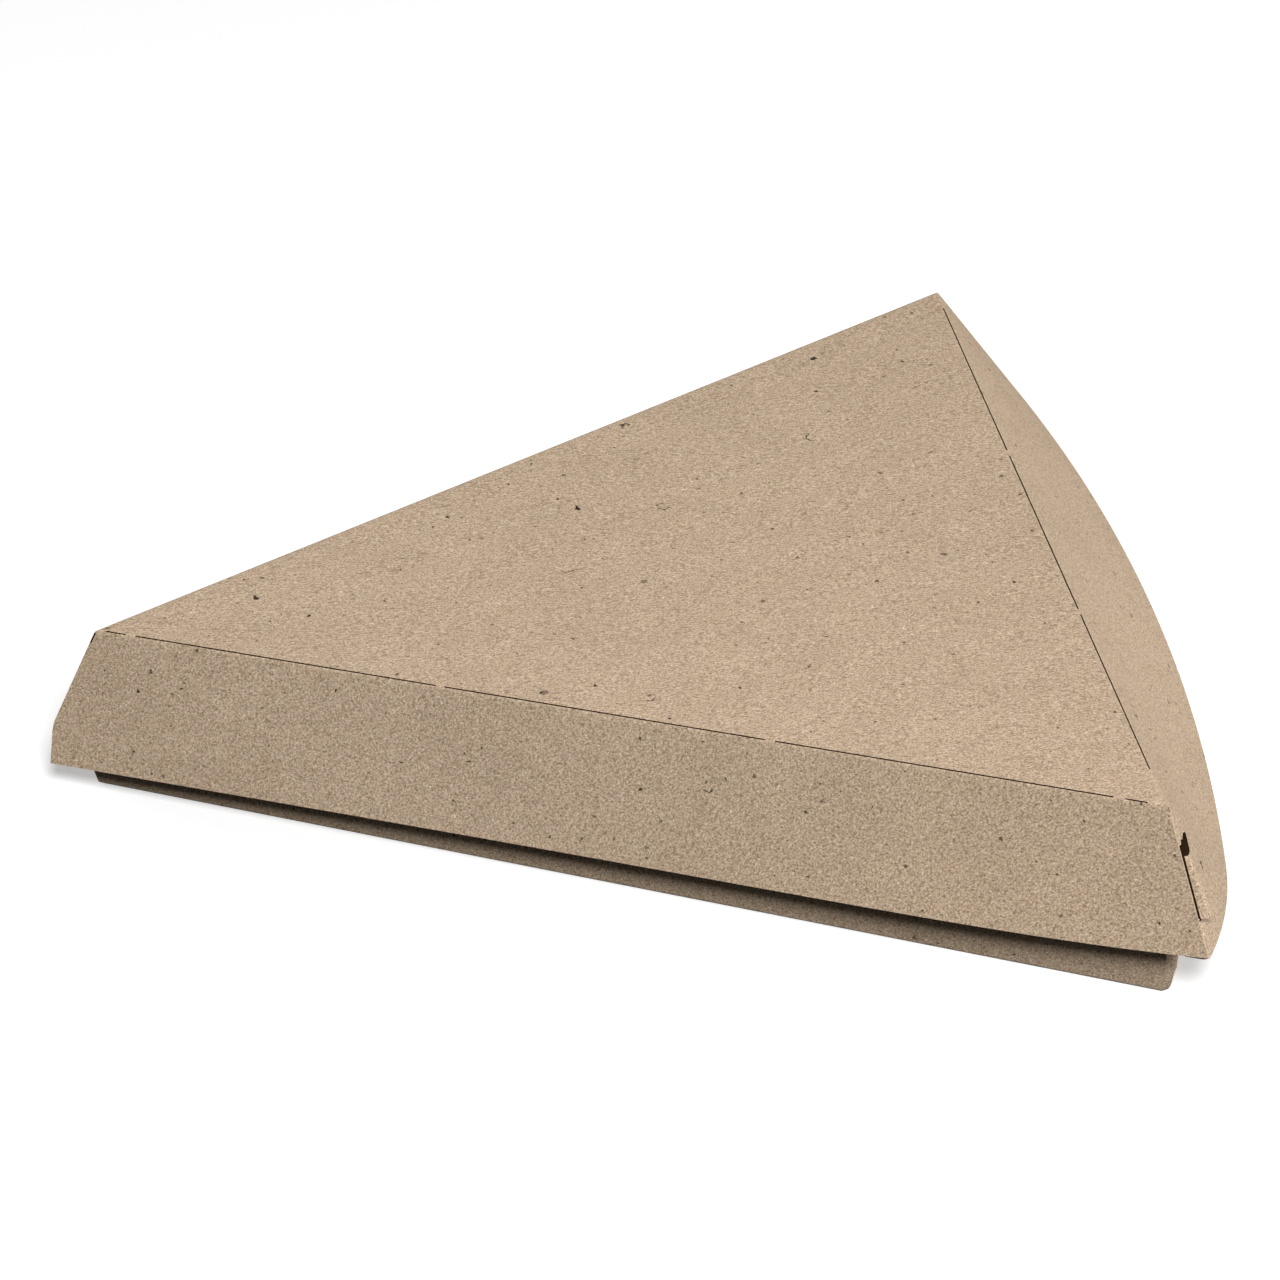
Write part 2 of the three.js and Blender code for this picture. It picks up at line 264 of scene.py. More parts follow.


# Board that is drawn as rows of points: the first row is laid down, the others are extruded.
# The two tests get a face's first column and its row, and pick the faces that are cut out and
# those that are painted near-black with painted shade.
def growBoard(bm, rows, dropped=never, shaded=never):
    column = bm.verts.layers.int.get("column") or bm.verts.layers.int.new("column")
    verts = [bm.verts.new(point) for point in rows[0]]
    for i, vert in enumerate(verts):
        vert[column] = i
    edges = [bm.edges.new(pair) for pair in zip(verts, verts[1:])]
    lost = []
    for index, row in enumerate(rows[1:]):
        made = bmesh.ops.extrude_edge_only(bm, edges=edges)["geom"]
        fresh = {item for item in made if isinstance(item, bmesh.types.BMVert)}
        for vert in fresh:
            vert.co = row[vert[column]]
        edges = [item for item in made if isinstance(item, bmesh.types.BMEdge) and set(item.verts) <= fresh]
        faces = [item for item in made if isinstance(item, bmesh.types.BMFace)]
        for face in faces:
            first = min(v[column] for v in face.verts)
            face.material_index = paintedShadeSlot if shaded(first, index) else faceSlot
            if dropped(first, index):
                lost.append(face)
    bmesh.ops.delete(bm, geom=lost, context="FACES")


# Corner flap that is glued inside a side wall: straight at its root, cut slanting at its free end
def growFlap(bm, pointAt, out, places, low, high):
    root, end = places
    columns = [(root, 0), ((root + 4 * end) / 5, 0), (end, lidForm["flapSlope"])]
    inset = at(-out * lidForm["flapInset"], 0)
    rows = []
    for t in (0, 0.5, 1):
        row = []
        for share, slope in columns:
            z = low + slope + (high - low - 2 * slope) * t
            row.append(pointAt(share, z) + inset)
        rows.append(row)
    growBoard(bm, rows)


# Closes the flat face and turns the normals out, before the board gets its thickness
def finishBoard(bm, name, flatHeight, up, place, materials):
    bmesh.ops.remove_doubles(bm, verts=bm.verts, dist=sheetForm["mergeReach"])
    rim = [
        edge for edge in bm.edges
        if edge.is_boundary and all(abs(v.co.z - flatHeight) < sheetForm["flatSlack"] for v in edge.verts)
    ]
    bmesh.ops.contextual_create(bm, geom=rim)
    flat = max(bm.faces, key=lambda face: face.calc_area())
    bmesh.ops.inset_region(bm, faces=[flat], thickness=sheetForm["faceInset"], use_even_offset=True)
    bmesh.ops.recalc_face_normals(bm, faces=bm.faces)
    if flat.normal.z * up < 0:
        bmesh.ops.reverse_faces(bm, faces=bm.faces)
    bmesh.ops.transform(bm, matrix=place, verts=bm.verts)
    return boardObject(bm, name, materials)


# Object with the board's thickness baked in, inwards from the drawn face
def boardObject(bm, name, materials):
    mesh = bpy.data.meshes.new(name)
    bm.to_mesh(mesh)
    bm.free()
    piece = bpy.data.objects.new(name, mesh)
    bpy.context.collection.objects.link(piece)
    for material in materials:
        mesh.materials.append(material)
    wall = piece.modifiers.new("board", "SOLIDIFY")
    wall.thickness = board * mm
    wall.offset = -1
    wall.use_even_offset = True
    wall.thickness_clamp = sheetForm["thicknessClamp"]
    wall.material_offset_rim = rimSlot
    bpy.context.view_layer.update()
    baked = bpy.data.meshes.new_from_object(piece.evaluated_get(bpy.context.evaluated_depsgraph_get()))
    piece.modifiers.clear()
    piece.data = baked
    baked.name = name
    for polygon in baked.polygons:
        polygon.use_smooth = True
    baked.set_sharp_from_angle(angle=radians(sheetForm["smoothDeg"]))
    return piece


foldTimes = spread(0, 1, sheetForm["foldSteps"])
wallDepths = [
    1.3, 3, 5, 7, 8.5, 10.5, 12.5, 15, 18, lidForm["farDepth"], 23.5, 25.5, 28, 29.4, skirtDepth,
]


def lidTip(depth):
    offset = flare * min(depth, hingeDepth)
    below = max(0, depth - hingeDepth) / (skirtDepth - hingeDepth)
    return sideCrossing(offset, offset).lerp(Vector(lidForm["tipCut"]), below)


# Side wall of the lid, bellied out so that the belly is deepest at lipBowPeak
def lidSide(share, depth, corner, run, out):
    down = depth / skirtDepth
    end = corner + run * (lidForm["cornerOverrun"] * down) + out * (flare * depth)
    bow = lidForm["lipBow"] * down ** 2 * sin(pi * share ** (log(0.5) / log(lidForm["lipBowPeak"])))
    return lidTip(depth).lerp(end, share) + out * bow


def lidNear(share, depth):
    return lidSide(share, depth, nearCorner, nearRun, nearOut)


def lidFar(share, depth):
    return lidSide(share, depth, farCorner, farRun, farOut)


def lidNearHeight(share, depth):
    rise = lidForm["lipRise"] * share ** lidForm["lipRisePower"]
    return closedHeight - depth + rise * depth / skirtDepth


# Rows of a wall of the lid: the fold first, then the wall down to the last depth
def lidRows(inner, crease, wallAt, heightAt, lastDepth):
    rows = []
    outer = wallAt(foldRadius)
    for t in foldTimes:
        rows.append([
            foldPoint(at(a, closedHeight), at(b, closedHeight), at(c, closedHeight - foldRadius), t)
            for a, b, c in zip(inner, crease, outer)
        ])
    for depth in [d for d in wallDepths if d <= lastDepth]:
        rows.append([at(point, heightAt(i, depth)) for i, point in enumerate(wallAt(depth))])
    return rows


# Depth of the upper edge of a row of faces, or 0 in the fold
def topDepth(row):
    wallRow = row - len(foldTimes)
    if wallRow >= 0:
        return wallDepths[wallRow]
    return foldRadius if wallRow == -1 else 0


lockForm = {
    "slotTop": 8.5,
    "slotBottom": 23.5,
    "slotDistance": (2.5, 6.8),  # from the corner to the slot's edge, at its top and bottom
    "slotMargin": 0.3,
    # Section of the tab: along the near wall and inwards, from where it leaves that wall
    "tabRoot": [(-0.5, 0.9), (0.3, 0.97)],
    "tabCurve": [(1.3, 0.65), (1.7, 1.7), (1.6, 4.1), (0.8, 6.8)],
    # Depth, how far the tab is sunk there and its share of the full section: its top corner
    #  is cut away, which leaves a hole, and the tab's top rows behind it are painted with shade
    "tabSections": [
        (8.0, 1.3, 0.4), (9.3, 1.0, 0.4), (10.6, 0.15, 0.42),
        (15, 0, 0.62), (19, 0, 0.82), (23.2, 0.05, 1),
    ],
    "sinkSlant": 0.25,
    "shadedRows": 2,        # rows of faces at the tab's top painted with shade, for the hole's shadow
}

# Columns of the lid's crust wall: the flap's free end, its root, the tuck from bendColumn on,
# the corner from slotColumn on and the rulings after cornerColumns
bendColumn = 2
slotColumn = bendColumn + lidForm["tuckSteps"] + 1
cornerColumns = slotColumn + lidForm["cornerSteps"]


# Crust wall of the lid at a depth, with the tuck and the flap behind the near wall
def lidCrustColumns(depth):
    share = min(1, depth / lidForm["tuckDepth"])
    row = lidCrustRow(depth)
    cornerReach = nearCorner.dot(nearOut)
    behind = flare * depth - sideWall - lidForm["tuckGap"] * share
    dense = [walk(row, lidForm["searchStep"] * i) for i in range(1, lidForm["searchSteps"] + 1)]
    across = next((p for p in dense if p.dot(nearOut) - cornerReach < behind), dense[-1])
    turn = across - nearOut * (across.dot(nearOut) - cornerReach - behind)
    distance = (turn - row[0]).length
    radius = lidForm["tuckRadius"] * share
    outer = walk(row, distance + radius)
    bend = [foldPoint(turn - nearRun * radius, turn, outer, t) for t in spread(0, 1, lidForm["tuckSteps"])]
    start = turn - nearRun * (radius + lidForm["tuckRun"] * share)

    slotNear, slotFar = lockForm["slotDistance"]
    slotDown = clamp((depth - lockForm["slotTop"]) / (lockForm["slotBottom"] - lockForm["slotTop"]))
    slotEdge = slotNear + (slotFar - slotNear) * slotDown
    slot = max(distance + radius + lockForm["slotMargin"] * share, slotEdge * share)
    reach = rowLength(row[:mainStart + 1])
    corner = [
        walk(row, slot + (reach - slot) * t ** lidForm["cornerCrowding"])
        for t in spread(0, 1, lidForm["cornerSteps"])[:-1]
    ]

    flapTop, flapBottom = lidForm["flapDepths"]
    middle = (flapTop + flapBottom) / 2
    slope = lidForm["flapSlope"] * abs(depth - middle) / (flapBottom - middle)
    flapLength = lidForm["flapLength"] - slope if depth >= flapTop else 0
    return [start - nearRun * flapLength, start] + bend + corner + row[mainStart:]


# The same wall, held inside the far wall below the fold
def lidCrustWall(depth):
    columns = lidCrustColumns(depth)
    if depth <= hingeDepth:
        return columns
    limit = hingeOffset - sideWall - lidForm["farClearance"]
    kept = []
    for point in columns:
        excess = (point - farCorner).dot(farOut) - limit
        if excess > 0:
            point = point - Vector((0, 1)) * (excess / farOut.y)
        kept.append(point)
    return kept


# The lock tab leaves the end of the near wall a little sunk, bulges and dives in behind the slot
def growTab(bm):
    rootAlong, rootInward = lockForm["tabRoot"][-1]
    rows = []
    for depth, sink, share in lockForm["tabSections"]:
        curve = [
            (rootAlong + along * share, rootInward + inward * share)
            for along, inward in lockForm["tabCurve"]
        ]
        end = lidNear(1, depth)
        height = lidNearHeight(1, depth)
        rows.append([
            at(end + nearRun * (along - sink * lockForm["sinkSlant"]) - nearOut * (inward + sink), height)
            for along, inward in lockForm["tabRoot"] + curve
        ])
    # Painted shade on the tab's root column, for the dark gap line, and on its top rows, for the hole's
    # shadow
    growBoard(bm, rows, shaded=lambda column, row: column == 0 or row < lockForm["shadedRows"])


def buildLid(materials):
    bm = bmesh.new()
    tipIn = sideCrossing(-foldRadius, -foldRadius)
    nearIn = crustCrossing(nearOut, -foldRadius, -foldRadius)
    farIn = crustCrossing(farOut, -foldRadius, -foldRadius)
    origin = Vector((0, 0))

    nearCuts = {round(share, 5) for share in cutShares("near", lidForm["nearSteps"])}
    nearShares = sorted(nearCuts | {lidForm["tipSlitShadeShare"]})
    nearMiddles = middles(nearShares)
    growBoard(
        bm,
        lidRows(
            [tipIn.lerp(nearIn, s) for s in nearShares],
            [origin.lerp(nearCorner, s) for s in nearShares],
            lambda depth: [lidNear(s, depth) for s in nearShares],
            lambda i, depth: lidNearHeight(nearShares[i], depth),
            skirtDepth,
        ),
        lambda column, row: row == 1 and isCut("near", nearMiddles[column]),
        # Painted shade on the top of the thin column at the tip stands in for the slit
        lambda column, row: column == 0 and 0 < topDepth(row) < lidForm["tipSlitShadeDepth"],
    )

    farShares = spread(0, 1, lidForm["farSteps"])
    growBoard(bm, lidRows(
        [tipIn.lerp(farIn, s) for s in farShares],
        [origin.lerp(farCorner, s) for s in farShares],
        lambda depth: [lidFar(s, depth) for s in farShares],
        lambda i, depth: closedHeight - depth,
        lidForm["farDepth"],
    ))

    crustFeet = [0] * cornerColumns + crustShares[mainStart:]
    crustMiddles = middles(crustFeet)
    flapTop, flapBottom = lidForm["flapDepths"]

    def crustDropped(column, row):
        if column == 0:
            return not flapTop <= topDepth(row) < flapBottom
        if row == 1:
            return isCut("crust", crustMiddles[column])
        inSlot = lockForm["slotTop"] <= topDepth(row) < lockForm["slotBottom"]
        return inSlot and bendColumn <= column < slotColumn

    growBoard(bm, lidRows(
        [nearIn.lerp(farIn, s) for s in crustFeet],
        [nearCorner.lerp(farCorner, s) for s in crustFeet],
        lidCrustWall,
        lambda i, depth: closedHeight - depth,
        skirtDepth,
    ), crustDropped)

    def farPoint(s, z):
        return at(lidFar(s, closedHeight - z), z)

    for places in lidForm["farFlaps"]:
        top = closedHeight - lidForm["farFlapTopGap"]
        growFlap(bm, farPoint, farOut, places, lidForm["farFlapBottom"], top)
    growTab(bm)
    piece = finishBoard(bm, "lidSheet", closedHeight, 1, lidPlace, materials)
    # Raw edges near the top, the walls of the crease cuts, get painted shade
    intoSheet = lidPlace.inverted()
    for polygon in piece.data.polygons:
        height = (intoSheet @ polygon.center).z
        if polygon.material_index == rimSlot and height > closedHeight - lidForm["cutReach"]:
            polygon.material_index = paintedShadeSlot
    return piece


trayForm = {
    "height": 24,
    "leanDeg": 1,
    "nearClearance": 0.6,
    "crustClearance": 1,
    "crustFloorStep": 0.8,
    "tipTaperStart": 2,
    "tipTaperLength": 30,
    "cornerTaperLength": 34,
    "bulgeShare": 0.15,     # the crust wall bellies out beside the near corner
    "bulgeCrowding": 0.4,   # below 1, the belly is deepest close to that corner
    "floorBulge": 2.3,
    "wallBulge": 0.9,
    "wallShares": (0.15, 0.35, 0.55, 0.75, 0.9, 1),
    "nearSteps": 30,
    "nearExtra": [0.012, 0.03, 0.06, 0.09, 0.985],
    "farSteps": 16,
    "crustSteps": 48,
    "crustExtra": [0.002, 0.006, 0.012, 0.03, 0.05],
    "nearFlap": (0.99, 0.88),
    "farFlaps": [(0.985, 0.88), (0.02, 0.09)],
    "flapBottom": 2,
    "flapTopGap": 1.5,
}

trayHeight = trayForm["height"]
lidOffset = flare * (closedHeight - trayHeight)
trayRimOffset = lidOffset - sideWall - board - trayForm["nearClearance"]
trayFloorOffset = trayRimOffset - trayHeight * tan(radians(trayForm["leanDeg"]))


def trayNearOffset(z):
    return trayFloorOffset + (trayRimOffset - trayFloorOffset) * z / trayHeight


def trayFarOffset(z):
    return trayFloorOffset + (hingeOffset - trayFloorOffset) * z / hingeHeight


trayFloorNear = crustCrossing(nearOut, trayFloorOffset, trayForm["crustFloorStep"])
trayFloorFar = crustCrossing(farOut, trayFloorOffset, trayForm["crustFloorStep"])
trayRimRow = insetCrustRow(
    lidCrustRow(closedHeight - trayHeight),
    lidOffset - trayRimOffset,
    lidOffset - trayFarOffset(trayHeight),
    crustWall + trayForm["crustClearance"],
)


def trayTip(z):
    return sideCrossing(trayNearOffset(z), trayFarOffset(z))


def trayCrustRow(z):
    feet = [trayFloorNear.lerp(trayFloorFar, s) for s in crustShares]
    return [foot.lerp(rim, z / trayHeight) for foot, rim in zip(feet, trayRimRow)]


# Rows of a wall of the tray: the fold first, then the wall up to its own height at each column
def trayRows(shares, inStart, inEnd, pointAt, topAt):
    rows = []
    for t in foldTimes:
        rows.append([
            foldPoint(at(inStart.lerp(inEnd, s), 0), pointAt(s, 0), pointAt(s, foldRadius), t)
            for s in shares
        ])
    for f in trayForm["wallShares"]:
        rows.append([pointAt(s, foldRadius + (topAt(s) - foldRadius) * f) for s in shares])
    return rows


def buildTray(materials):
    bm = bmesh.new()
    inOffset = trayFloorOffset - foldRadius
    tipIn = sideCrossing(inOffset, inOffset)
    nearIn = crustCrossing(nearOut, inOffset, trayForm["crustFloorStep"] - foldRadius)
    farIn = crustCrossing(farOut, inOffset, trayForm["crustFloorStep"] - foldRadius)
    nearLength = (trayCrustRow(0)[0] - trayTip(0)).length
    farTop = hingeHeight - foldForm["halfWidth"]

    # Top of a wall that climbs from the fold's height to the rim
    def climb(rise):
        return farTop + (trayHeight - farTop) * clamp(rise)

    def nearPoint(s, z):
        return at(trayTip(z).lerp(trayCrustRow(z)[0], s), z)

    def nearTop(s):
        return climb((s * nearLength - trayForm["tipTaperStart"]) / trayForm["tipTaperLength"])

    def farPoint(s, z):
        return at(trayTip(z).lerp(trayCrustRow(z)[-1], s), z)

    def crustPoint(s, z):
        swell = sin(pi * min(1, s / trayForm["bulgeShare"]) ** trayForm["bulgeCrowding"])
        out = trayForm["floorBulge"] * (1 - z / trayHeight) + trayForm["wallBulge"] * sin(pi * z / trayHeight)
        return at(walkShare(trayCrustRow(z), s) + crustOut * (swell * out), z)

    def crustTop(s):
        return climb((farCorner.y - walkShare(trayRimRow, s).y) / trayForm["cornerTaperLength"])

    nearShares = sorted(set(spread(0, 1, trayForm["nearSteps"]) + trayForm["nearExtra"]))
    farShares = spread(0, 1, trayForm["farSteps"])
    alongCrust = sorted(set(spread(0, 1, trayForm["crustSteps"]) + trayForm["crustExtra"]))
    growBoard(bm, trayRows(nearShares, tipIn, nearIn, nearPoint, nearTop))
    growBoard(bm, trayRows(farShares, tipIn, farIn, farPoint, lambda s: farTop))
    growBoard(bm, trayRows(alongCrust, nearIn, farIn, crustPoint, crustTop))

    low = trayForm["flapBottom"]
    gap = trayForm["flapTopGap"]
    growFlap(bm, nearPoint, nearOut, trayForm["nearFlap"], low, trayHeight - gap)
    for places in trayForm["farFlaps"]:
        growFlap(bm, farPoint, farOut, places, low, farTop - gap)
    return finishBoard(bm, "traySheet", 0, -1, trayPlace, materials)


foldForm = {
    "halfWidth": 0.7,
    "lidShare": 0.97,       # share of the half width that reaches up the lid's far wall
    "alongSteps": 24,
    "acrossSteps": 6,
}


# The fold between the two halves, drawn between the tray and the lid at its rest angle
def buildFold(materials):
    bm = bmesh.new()
    lowZ = hingeHeight - foldForm["halfWidth"]
    highDepth = hingeDepth - foldForm["halfWidth"] * foldForm["lidShare"]
    tip = trayTip(lowZ)
    lowEnd = trayCrustRow(lowZ)[-1]
    crease = trayPlace @ at(farOut * hingeOffset, hingeHeight)
    rows = []
    for share in spread(0, 1, foldForm["alongSteps"]):
        low = trayPlace @ at(tip.lerp(lowEnd, share), lowZ)
        high = lidPlace @ at(lidFar(share, highDepth), closedHeight - highDepth)
        middle = crease + openingAxis * ((low + high) / 2 - crease).dot(openingAxis)
        rows.append([foldPoint(low, middle, high, t) for t in spread(0, 1, foldForm["acrossSteps"])])
    growBoard(bm, rows)
    bmesh.ops.recalc_face_normals(bm, faces=bm.faces)
    bm.faces.ensure_lookup_table()
    if bm.faces[0].normal.dot(at(farOut, 0)) < 0:
        bmesh.ops.reverse_faces(bm, faces=bm.faces)
    return boardObject(bm, "foldStrip", materials)


def linear(code):
    values = [int(code[i:i + 2], 16) / 255 for i in (1, 3, 5)]
    return [v / 12.92 if v <= 0.04045 else ((v + 0.055) / 1.055) ** 2.4 for v in values] + [1]


def addNode(tree, kind, inputs=None, **settings):
    node = tree.nodes.new(kind)
    for key, value in settings.items():
        setattr(node, key, value)
    for key, value in (inputs or {}).items():
        if isinstance(value, bpy.types.NodeSocket):
            tree.links.new(value, node.inputs[key])
        else:
            node.inputs[key].default_value = value
    return node


def newMaterial(name, roughness, specular):
    material = bpy.data.materials.new(name)
    material.use_nodes = True
    shader = material.node_tree.nodes["Principled BSDF"]
    shader.inputs["Roughness"].default_value = roughness
    shader.inputs["Specular IOR Level"].default_value = specular
    return material, shader


boardLook = {
    "dark": "#7b654e",
    "light": "#e9d0b4",
    # painted shade: near-black colour put where shadow falls in cuts, slits and gaps
    "paintedShade": "#2a1d13",
    "roughness": 0.95,
    "specular": 0.12,
    "grain": (2.4, 4, 0.72),  # 2.4 noise cells per mm, so the mottling is about 0.4 mm
    "grainRange": (0.3, 0.7),
    "cloud": (0.05, 3),
    "cloudRange": (0.35, 0.65, 0, 0.1),
    "fiberAcross": 3.4,     # fibres are about 0.3 mm across and several times as long
    "fiberStretch": 5,
    "fiberDepth": 0.6,
    # Colour, turn in degrees, share of fiberAcross, and how the noise turns into strength
    "fibers": [
        ("#745e48", 35, 1, (0.56, 0.7, 0, 0.7)),
        ("#efdcc4", -40, 1.2, (0.57, 0.72, 0, 0.75)),
    ],
    "bumpStrength": 0.5,
    "bumpDepth": 0.00012,
}

# Bits and hairs in the board. A layer is: colour, scale and reach of the warp, strength, then
# the size of its cells in mm, the share of them that holds a bit and the bit's radius in mm.
bitLook = {
    "layers": {
        "dust": ("#2b1d13", (0.9, 1.6), 0.6, (2, 0.3, 0.24)),
        "dots": ("#2b1d13", (0.9, 1.6), 0.9, (3, 0.5, 0.42)),
        "blots": ("#2b1d13", (0.5, 2.4), 1.0, (10, 0.5, 0.9)),
        "hairs": ("#2b1d13", (0.9, 1.6), 0.9, (18, 0.6, 1.9)),
        "lint": ("#f6ead8", (1.3, 1.2), 0.7, (2.2, 0.3, 0.24)),
    },
    "pickEdge": 0.002,
    "smallest": 0.45,       # radius of the smallest bit, as a share of the largest
    "softEdge": 0.04,
    "faintest": 0.6,
    "smallestHair": 0.5,
    "hairWidth": 0.22,
    "hairCore": 0.4,
    "hairParts": 0.45,      # noise cells per mm that break the rings up
    "hairPartRange": (0.5, 0.56),
}


def noise(tree, coords, scale, detail, roughness=0.5):
    return addNode(tree, "ShaderNodeTexNoise", {
        "Vector": coords, "Scale": scale, "Detail": detail, "Roughness": roughness,
    })


def ramp(tree, value, low, high, toLow=0, toHigh=1):
    return addNode(tree, "ShaderNodeMapRange", {
        "Value": value, "From Min": low, "From Max": high, "To Min": toLow, "To Max": toHigh,
    }).outputs["Result"]


def mixColor(tree, amount, first, second):
    return addNode(tree, "ShaderNodeMix", {0: amount, 6: first, 7: second}, data_type="RGBA").outputs[2]


def combine(tree, operation, first, second, useClamp=False):
    inputs = {0: first, 1: second}
    return addNode(tree, "ShaderNodeMath", inputs, operation=operation, use_clamp=useClamp).outputs[0]


def product(tree, first, second):
    return combine(tree, "MULTIPLY", first, second, True)


def moved(tree, operation, inputs):
    return addNode(tree, "ShaderNodeVectorMath", inputs, operation=operation).outputs[0]


# Fibres: noise that is drawn out along one direction of the board
def fiberNoise(tree, coords, turnDeg, across, look):
    mapping = addNode(tree, "ShaderNodeMapping", {
        "Vector": coords,
        "Rotation": (0, 0, radians(turnDeg)),
        "Scale": (across / look["fiberStretch"], across, across * look["fiberDepth"]),
    })
    return noise(tree, mapping.outputs[0], 1, 2, 0.55).outputs["Fac"]


# Bent coordinates, in mm, so that round cells turn into irregular bits
def warped(tree, coords, scale, reach):
    push = noise(tree, coords, scale, 2).outputs["Color"]
    push = moved(tree, "SUBTRACT", {0: push, 1: (0.5, 0.5, 0.5)})
    push = moved(tree, "SCALE", {0: push, 3: reach})
    return moved(tree, "ADD", {0: coords, 1: push})


# Cells, of which a share is chosen: distance from each one's middle, its draws and that choice
def chooseCells(tree, coords, cellSize, share):
    cell = addNode(tree, "ShaderNodeTexVoronoi", {"Vector": coords, "Scale": 1 / cellSize, "Randomness": 1})
    draws = addNode(tree, "ShaderNodeSeparateColor", {"Color": cell.outputs["Color"]}).outputs
    chosen = ramp(tree, draws["Red"], 1 - share, 1 + bitLook["pickEdge"] - share)
    return cell.outputs["Distance"], draws, chosen


# Sparse bits, each in the middle of a chosen cell
def speckLayer(tree, coords, cellSize, share, radius):
    distance, draws, chosen = chooseCells(tree, coords, cellSize, share)
    size = ramp(tree, draws["Green"], 0, 1, radius * bitLook["smallest"] / cellSize, radius / cellSize)
    gap = combine(tree, "SUBTRACT", size, distance)
    edge = bitLook["softEdge"] / cellSize
    inside = ramp(tree, gap, -edge, edge)
    strength = ramp(tree, draws["Blue"], 0, 1, bitLook["faintest"], 1)
    return product(tree, product(tree, chosen, inside), strength)


# Rare curled hairs: part of a thin ring in a chosen cell
def hairLayer(tree, coords, cellSize, share, radius):
    distance, draws, chosen = chooseCells(tree, coords, cellSize, share)
    size = ramp(tree, draws["Green"], 0, 1, radius * bitLook["smallestHair"] / cellSize, radius / cellSize)
    off = combine(tree, "SUBTRACT", distance, size)
    off = addNode(tree, "ShaderNodeMath", {0: off}, operation="ABSOLUTE").outputs[0]
    width = bitLook["hairWidth"]
    ring = ramp(tree, off, width / cellSize, width * bitLook["hairCore"] / cellSize)
    part = noise(tree, coords, bitLook["hairParts"], 0).outputs["Fac"]
    return product(tree, product(tree, chosen, ring), ramp(tree, part, *bitLook["hairPartRange"]))


def kraftMaterial(name, look):
    material, shader = newMaterial(name, look["roughness"], look["specular"])
    tree = material.node_tree
    place = addNode(tree, "ShaderNodeTexCoord").outputs["Object"]
    coords = moved(tree, "SCALE", {0: place, 3: 1 / mm})
    grain = noise(tree, coords, *look["grain"]).outputs["Fac"]
    cloud = noise(tree, coords, *look["cloud"]).outputs["Fac"]
    dark = linear(look["dark"])
    color = mixColor(tree, ramp(tree, grain, *look["grainRange"]), dark, linear(look["light"]))
    color = mixColor(tree, ramp(tree, cloud, *look["cloudRange"]), color, dark)
    for code, turnDeg, across, strength in look["fibers"]:
        fiber = fiberNoise(tree, coords, turnDeg, look["fiberAcross"] * across, look)
        color = mixColor(tree, ramp(tree, fiber, *strength), color, linear(code))
    for layer, (code, warp, strength, cells) in bitLook["layers"].items():
        draw = hairLayer if layer == "hairs" else speckLayer
        bits = draw(tree, warped(tree, coords, *warp), *cells)
        color = mixColor(tree, product(tree, bits, strength), color, linear(code))
    tree.links.new(color, shader.inputs["Base Color"])
    bump = addNode(tree, "ShaderNodeBump", {
        "Height": grain, "Strength": look["bumpStrength"], "Distance": look["bumpDepth"],
    })
    tree.links.new(bump.outputs[0], shader.inputs["Normal"])
    return material


# Uncoated kraft board: warm brown-beige, matt, mottled, with dark and light fibres and bark specks
kraft = kraftMaterial("kraftBoardUncoated", boardLook)

# Die-cut edge of the board: a little lighter and fluffier than the face
cutEdge = kraftMaterial("kraftBoardCutEdge", boardLook | {"dark": "#a8917a", "light": "#e2ccb4"})

# Painted shade: a near-black colour that stands in for the shadow inside the crease cuts, the slit at the tip
# and the lock tab's gap and hole
paintedShade, paintedShadeShader = newMaterial("kraftBoardPaintedShade", 1, 0)
paintedShadeShader.inputs["Base Color"].default_value = linear(boardLook["paintedShade"])
sheetMaterials = [kraft, cutEdge, paintedShade]

lidSheet = buildLid(sheetMaterials)
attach(lidSheet, "lid")
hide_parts("lid")
print("lid:", len(lidSheet.data.polygons), "faces")

traySheet = buildTray(sheetMaterials)
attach(traySheet, "tray")
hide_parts("tray")
print("tray:", len(traySheet.data.polygons), "faces")

foldStrip = buildFold(sheetMaterials)
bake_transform(foldStrip)
print("fold:", len(foldStrip.data.polygons), "faces")

studio = {
    "floorSize": 8,
    "floorColor": "#e6e6e6",
    "floorGlow": 0.35,      # for camera rays only, so that the floor is white out to its far end
    "backdropColor": "#ffffff",
    "bounceColor": "#202020",
    "skyColor": "#4c4c4c",
    # Name, direction from the box, distance and disk size in metres, watts
    "lamps": [
        ("frontSoftbox", (-0.03, -0.645, 0.764), 1.6, 0.5, 25.5),
        ("rightSoftbox", (0.95, -0.05, 0.31), 1.6, 0.8, 15),
        ("backSoftbox", (-0.6, 0.75, 0.22), 1.6, 0.9, 7),
    ],
}

cameraForm = {
    "azimuthDeg": -9.61,
    "elevationDeg": 34.82,
    "distance": 1.0519,
    "aim": (0.0060, 0.00329, 0.02088),
    "lens": 140.6,
    "sensorWidth": 36,
}


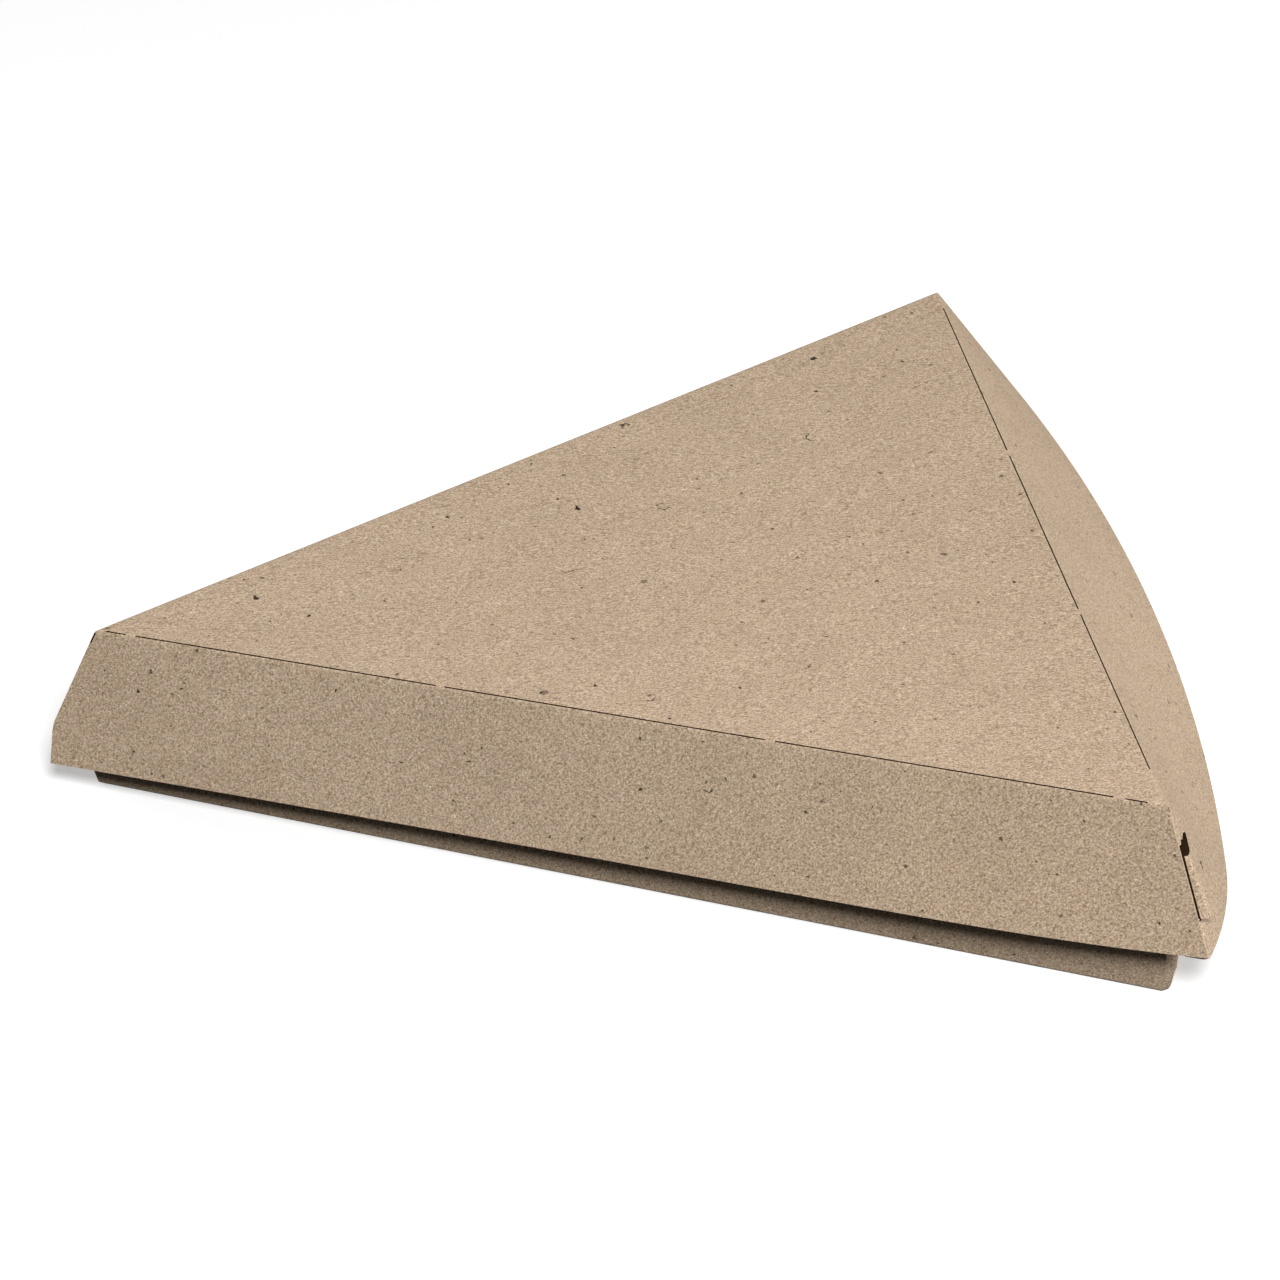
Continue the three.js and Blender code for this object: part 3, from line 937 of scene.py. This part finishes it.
def addCamera(form):
    azimuth = radians(form["azimuthDeg"])
    elevation = radians(form["elevationDeg"])
    back = Vector((sin(azimuth) * cos(elevation), -cos(azimuth) * cos(elevation), sin(elevation)))
    data = bpy.data.cameras.new("productCamera")
    data.sensor_width = form["sensorWidth"]
    data.lens = form["lens"]
    camera = bpy.data.objects.new("productCamera", data)
    camera.location = Vector(form["aim"]) + back * form["distance"]
    camera.rotation_euler = (-back).to_track_quat("-Z", "Y").to_euler()
    bpy.context.collection.objects.link(camera)
    bpy.context.scene.camera = camera


def addLight(name, direction, distance, size, power):
    data = bpy.data.lights.new(name, "AREA")
    data.shape = "DISK"
    data.size = size
    data.energy = power
    light = bpy.data.objects.new(name, data)
    light.location = Vector(direction).normalized() * distance
    light.rotation_euler = Vector(direction).to_track_quat("Z", "Y").to_euler()
    bpy.context.collection.objects.link(light)


# True for the rays that see the background: from the camera, in a mirror or through glass
def seenRay(tree):
    path = addNode(tree, "ShaderNodeLightPath").outputs
    direct = combine(tree, "MAXIMUM", path["Is Camera Ray"], path["Is Glossy Ray"])
    return combine(tree, "MAXIMUM", direct, path["Is Transmission Ray"])


# White paper sweep: it goes white to the camera, but gives the box little light back
def addFloor(form):
    bm = bmesh.new()
    bmesh.ops.create_grid(bm, x_segments=1, y_segments=1, size=form["floorSize"] / 2)
    mesh = bpy.data.meshes.new("studioFloor")
    bm.to_mesh(mesh)
    bm.free()
    floor = bpy.data.objects.new("studioFloor", mesh)
    bpy.context.collection.objects.link(floor)
    material, shader = newMaterial("paperSweepFloor", 1, 0)
    tree = material.node_tree
    seen = seenRay(tree)
    color = mixColor(tree, seen, linear(form["bounceColor"]), linear(form["floorColor"]))
    tree.links.new(color, shader.inputs["Base Color"])
    shader.inputs["Emission Color"].default_value = linear(form["backdropColor"])
    tree.links.new(product(tree, seen, form["floorGlow"]), shader.inputs["Emission Strength"])
    mesh.materials.append(material)


def setWorld(form):
    world = bpy.data.worlds.new("studioWorld")
    world.use_nodes = True
    tree = world.node_tree
    color = mixColor(tree, seenRay(tree), linear(form["skyColor"]), linear(form["backdropColor"]))
    tree.links.new(color, tree.nodes["Background"].inputs["Color"])
    bpy.context.scene.world = world


bpy.context.scene.view_settings.view_transform = "Standard"
addCamera(cameraForm)
addFloor(studio)
setWorld(studio)
for name, direction, distance, size, power in studio["lamps"]:
    addLight(name, direction, distance, size, power)
print("studio: camera, floor,", len(studio["lamps"]), "lamps")
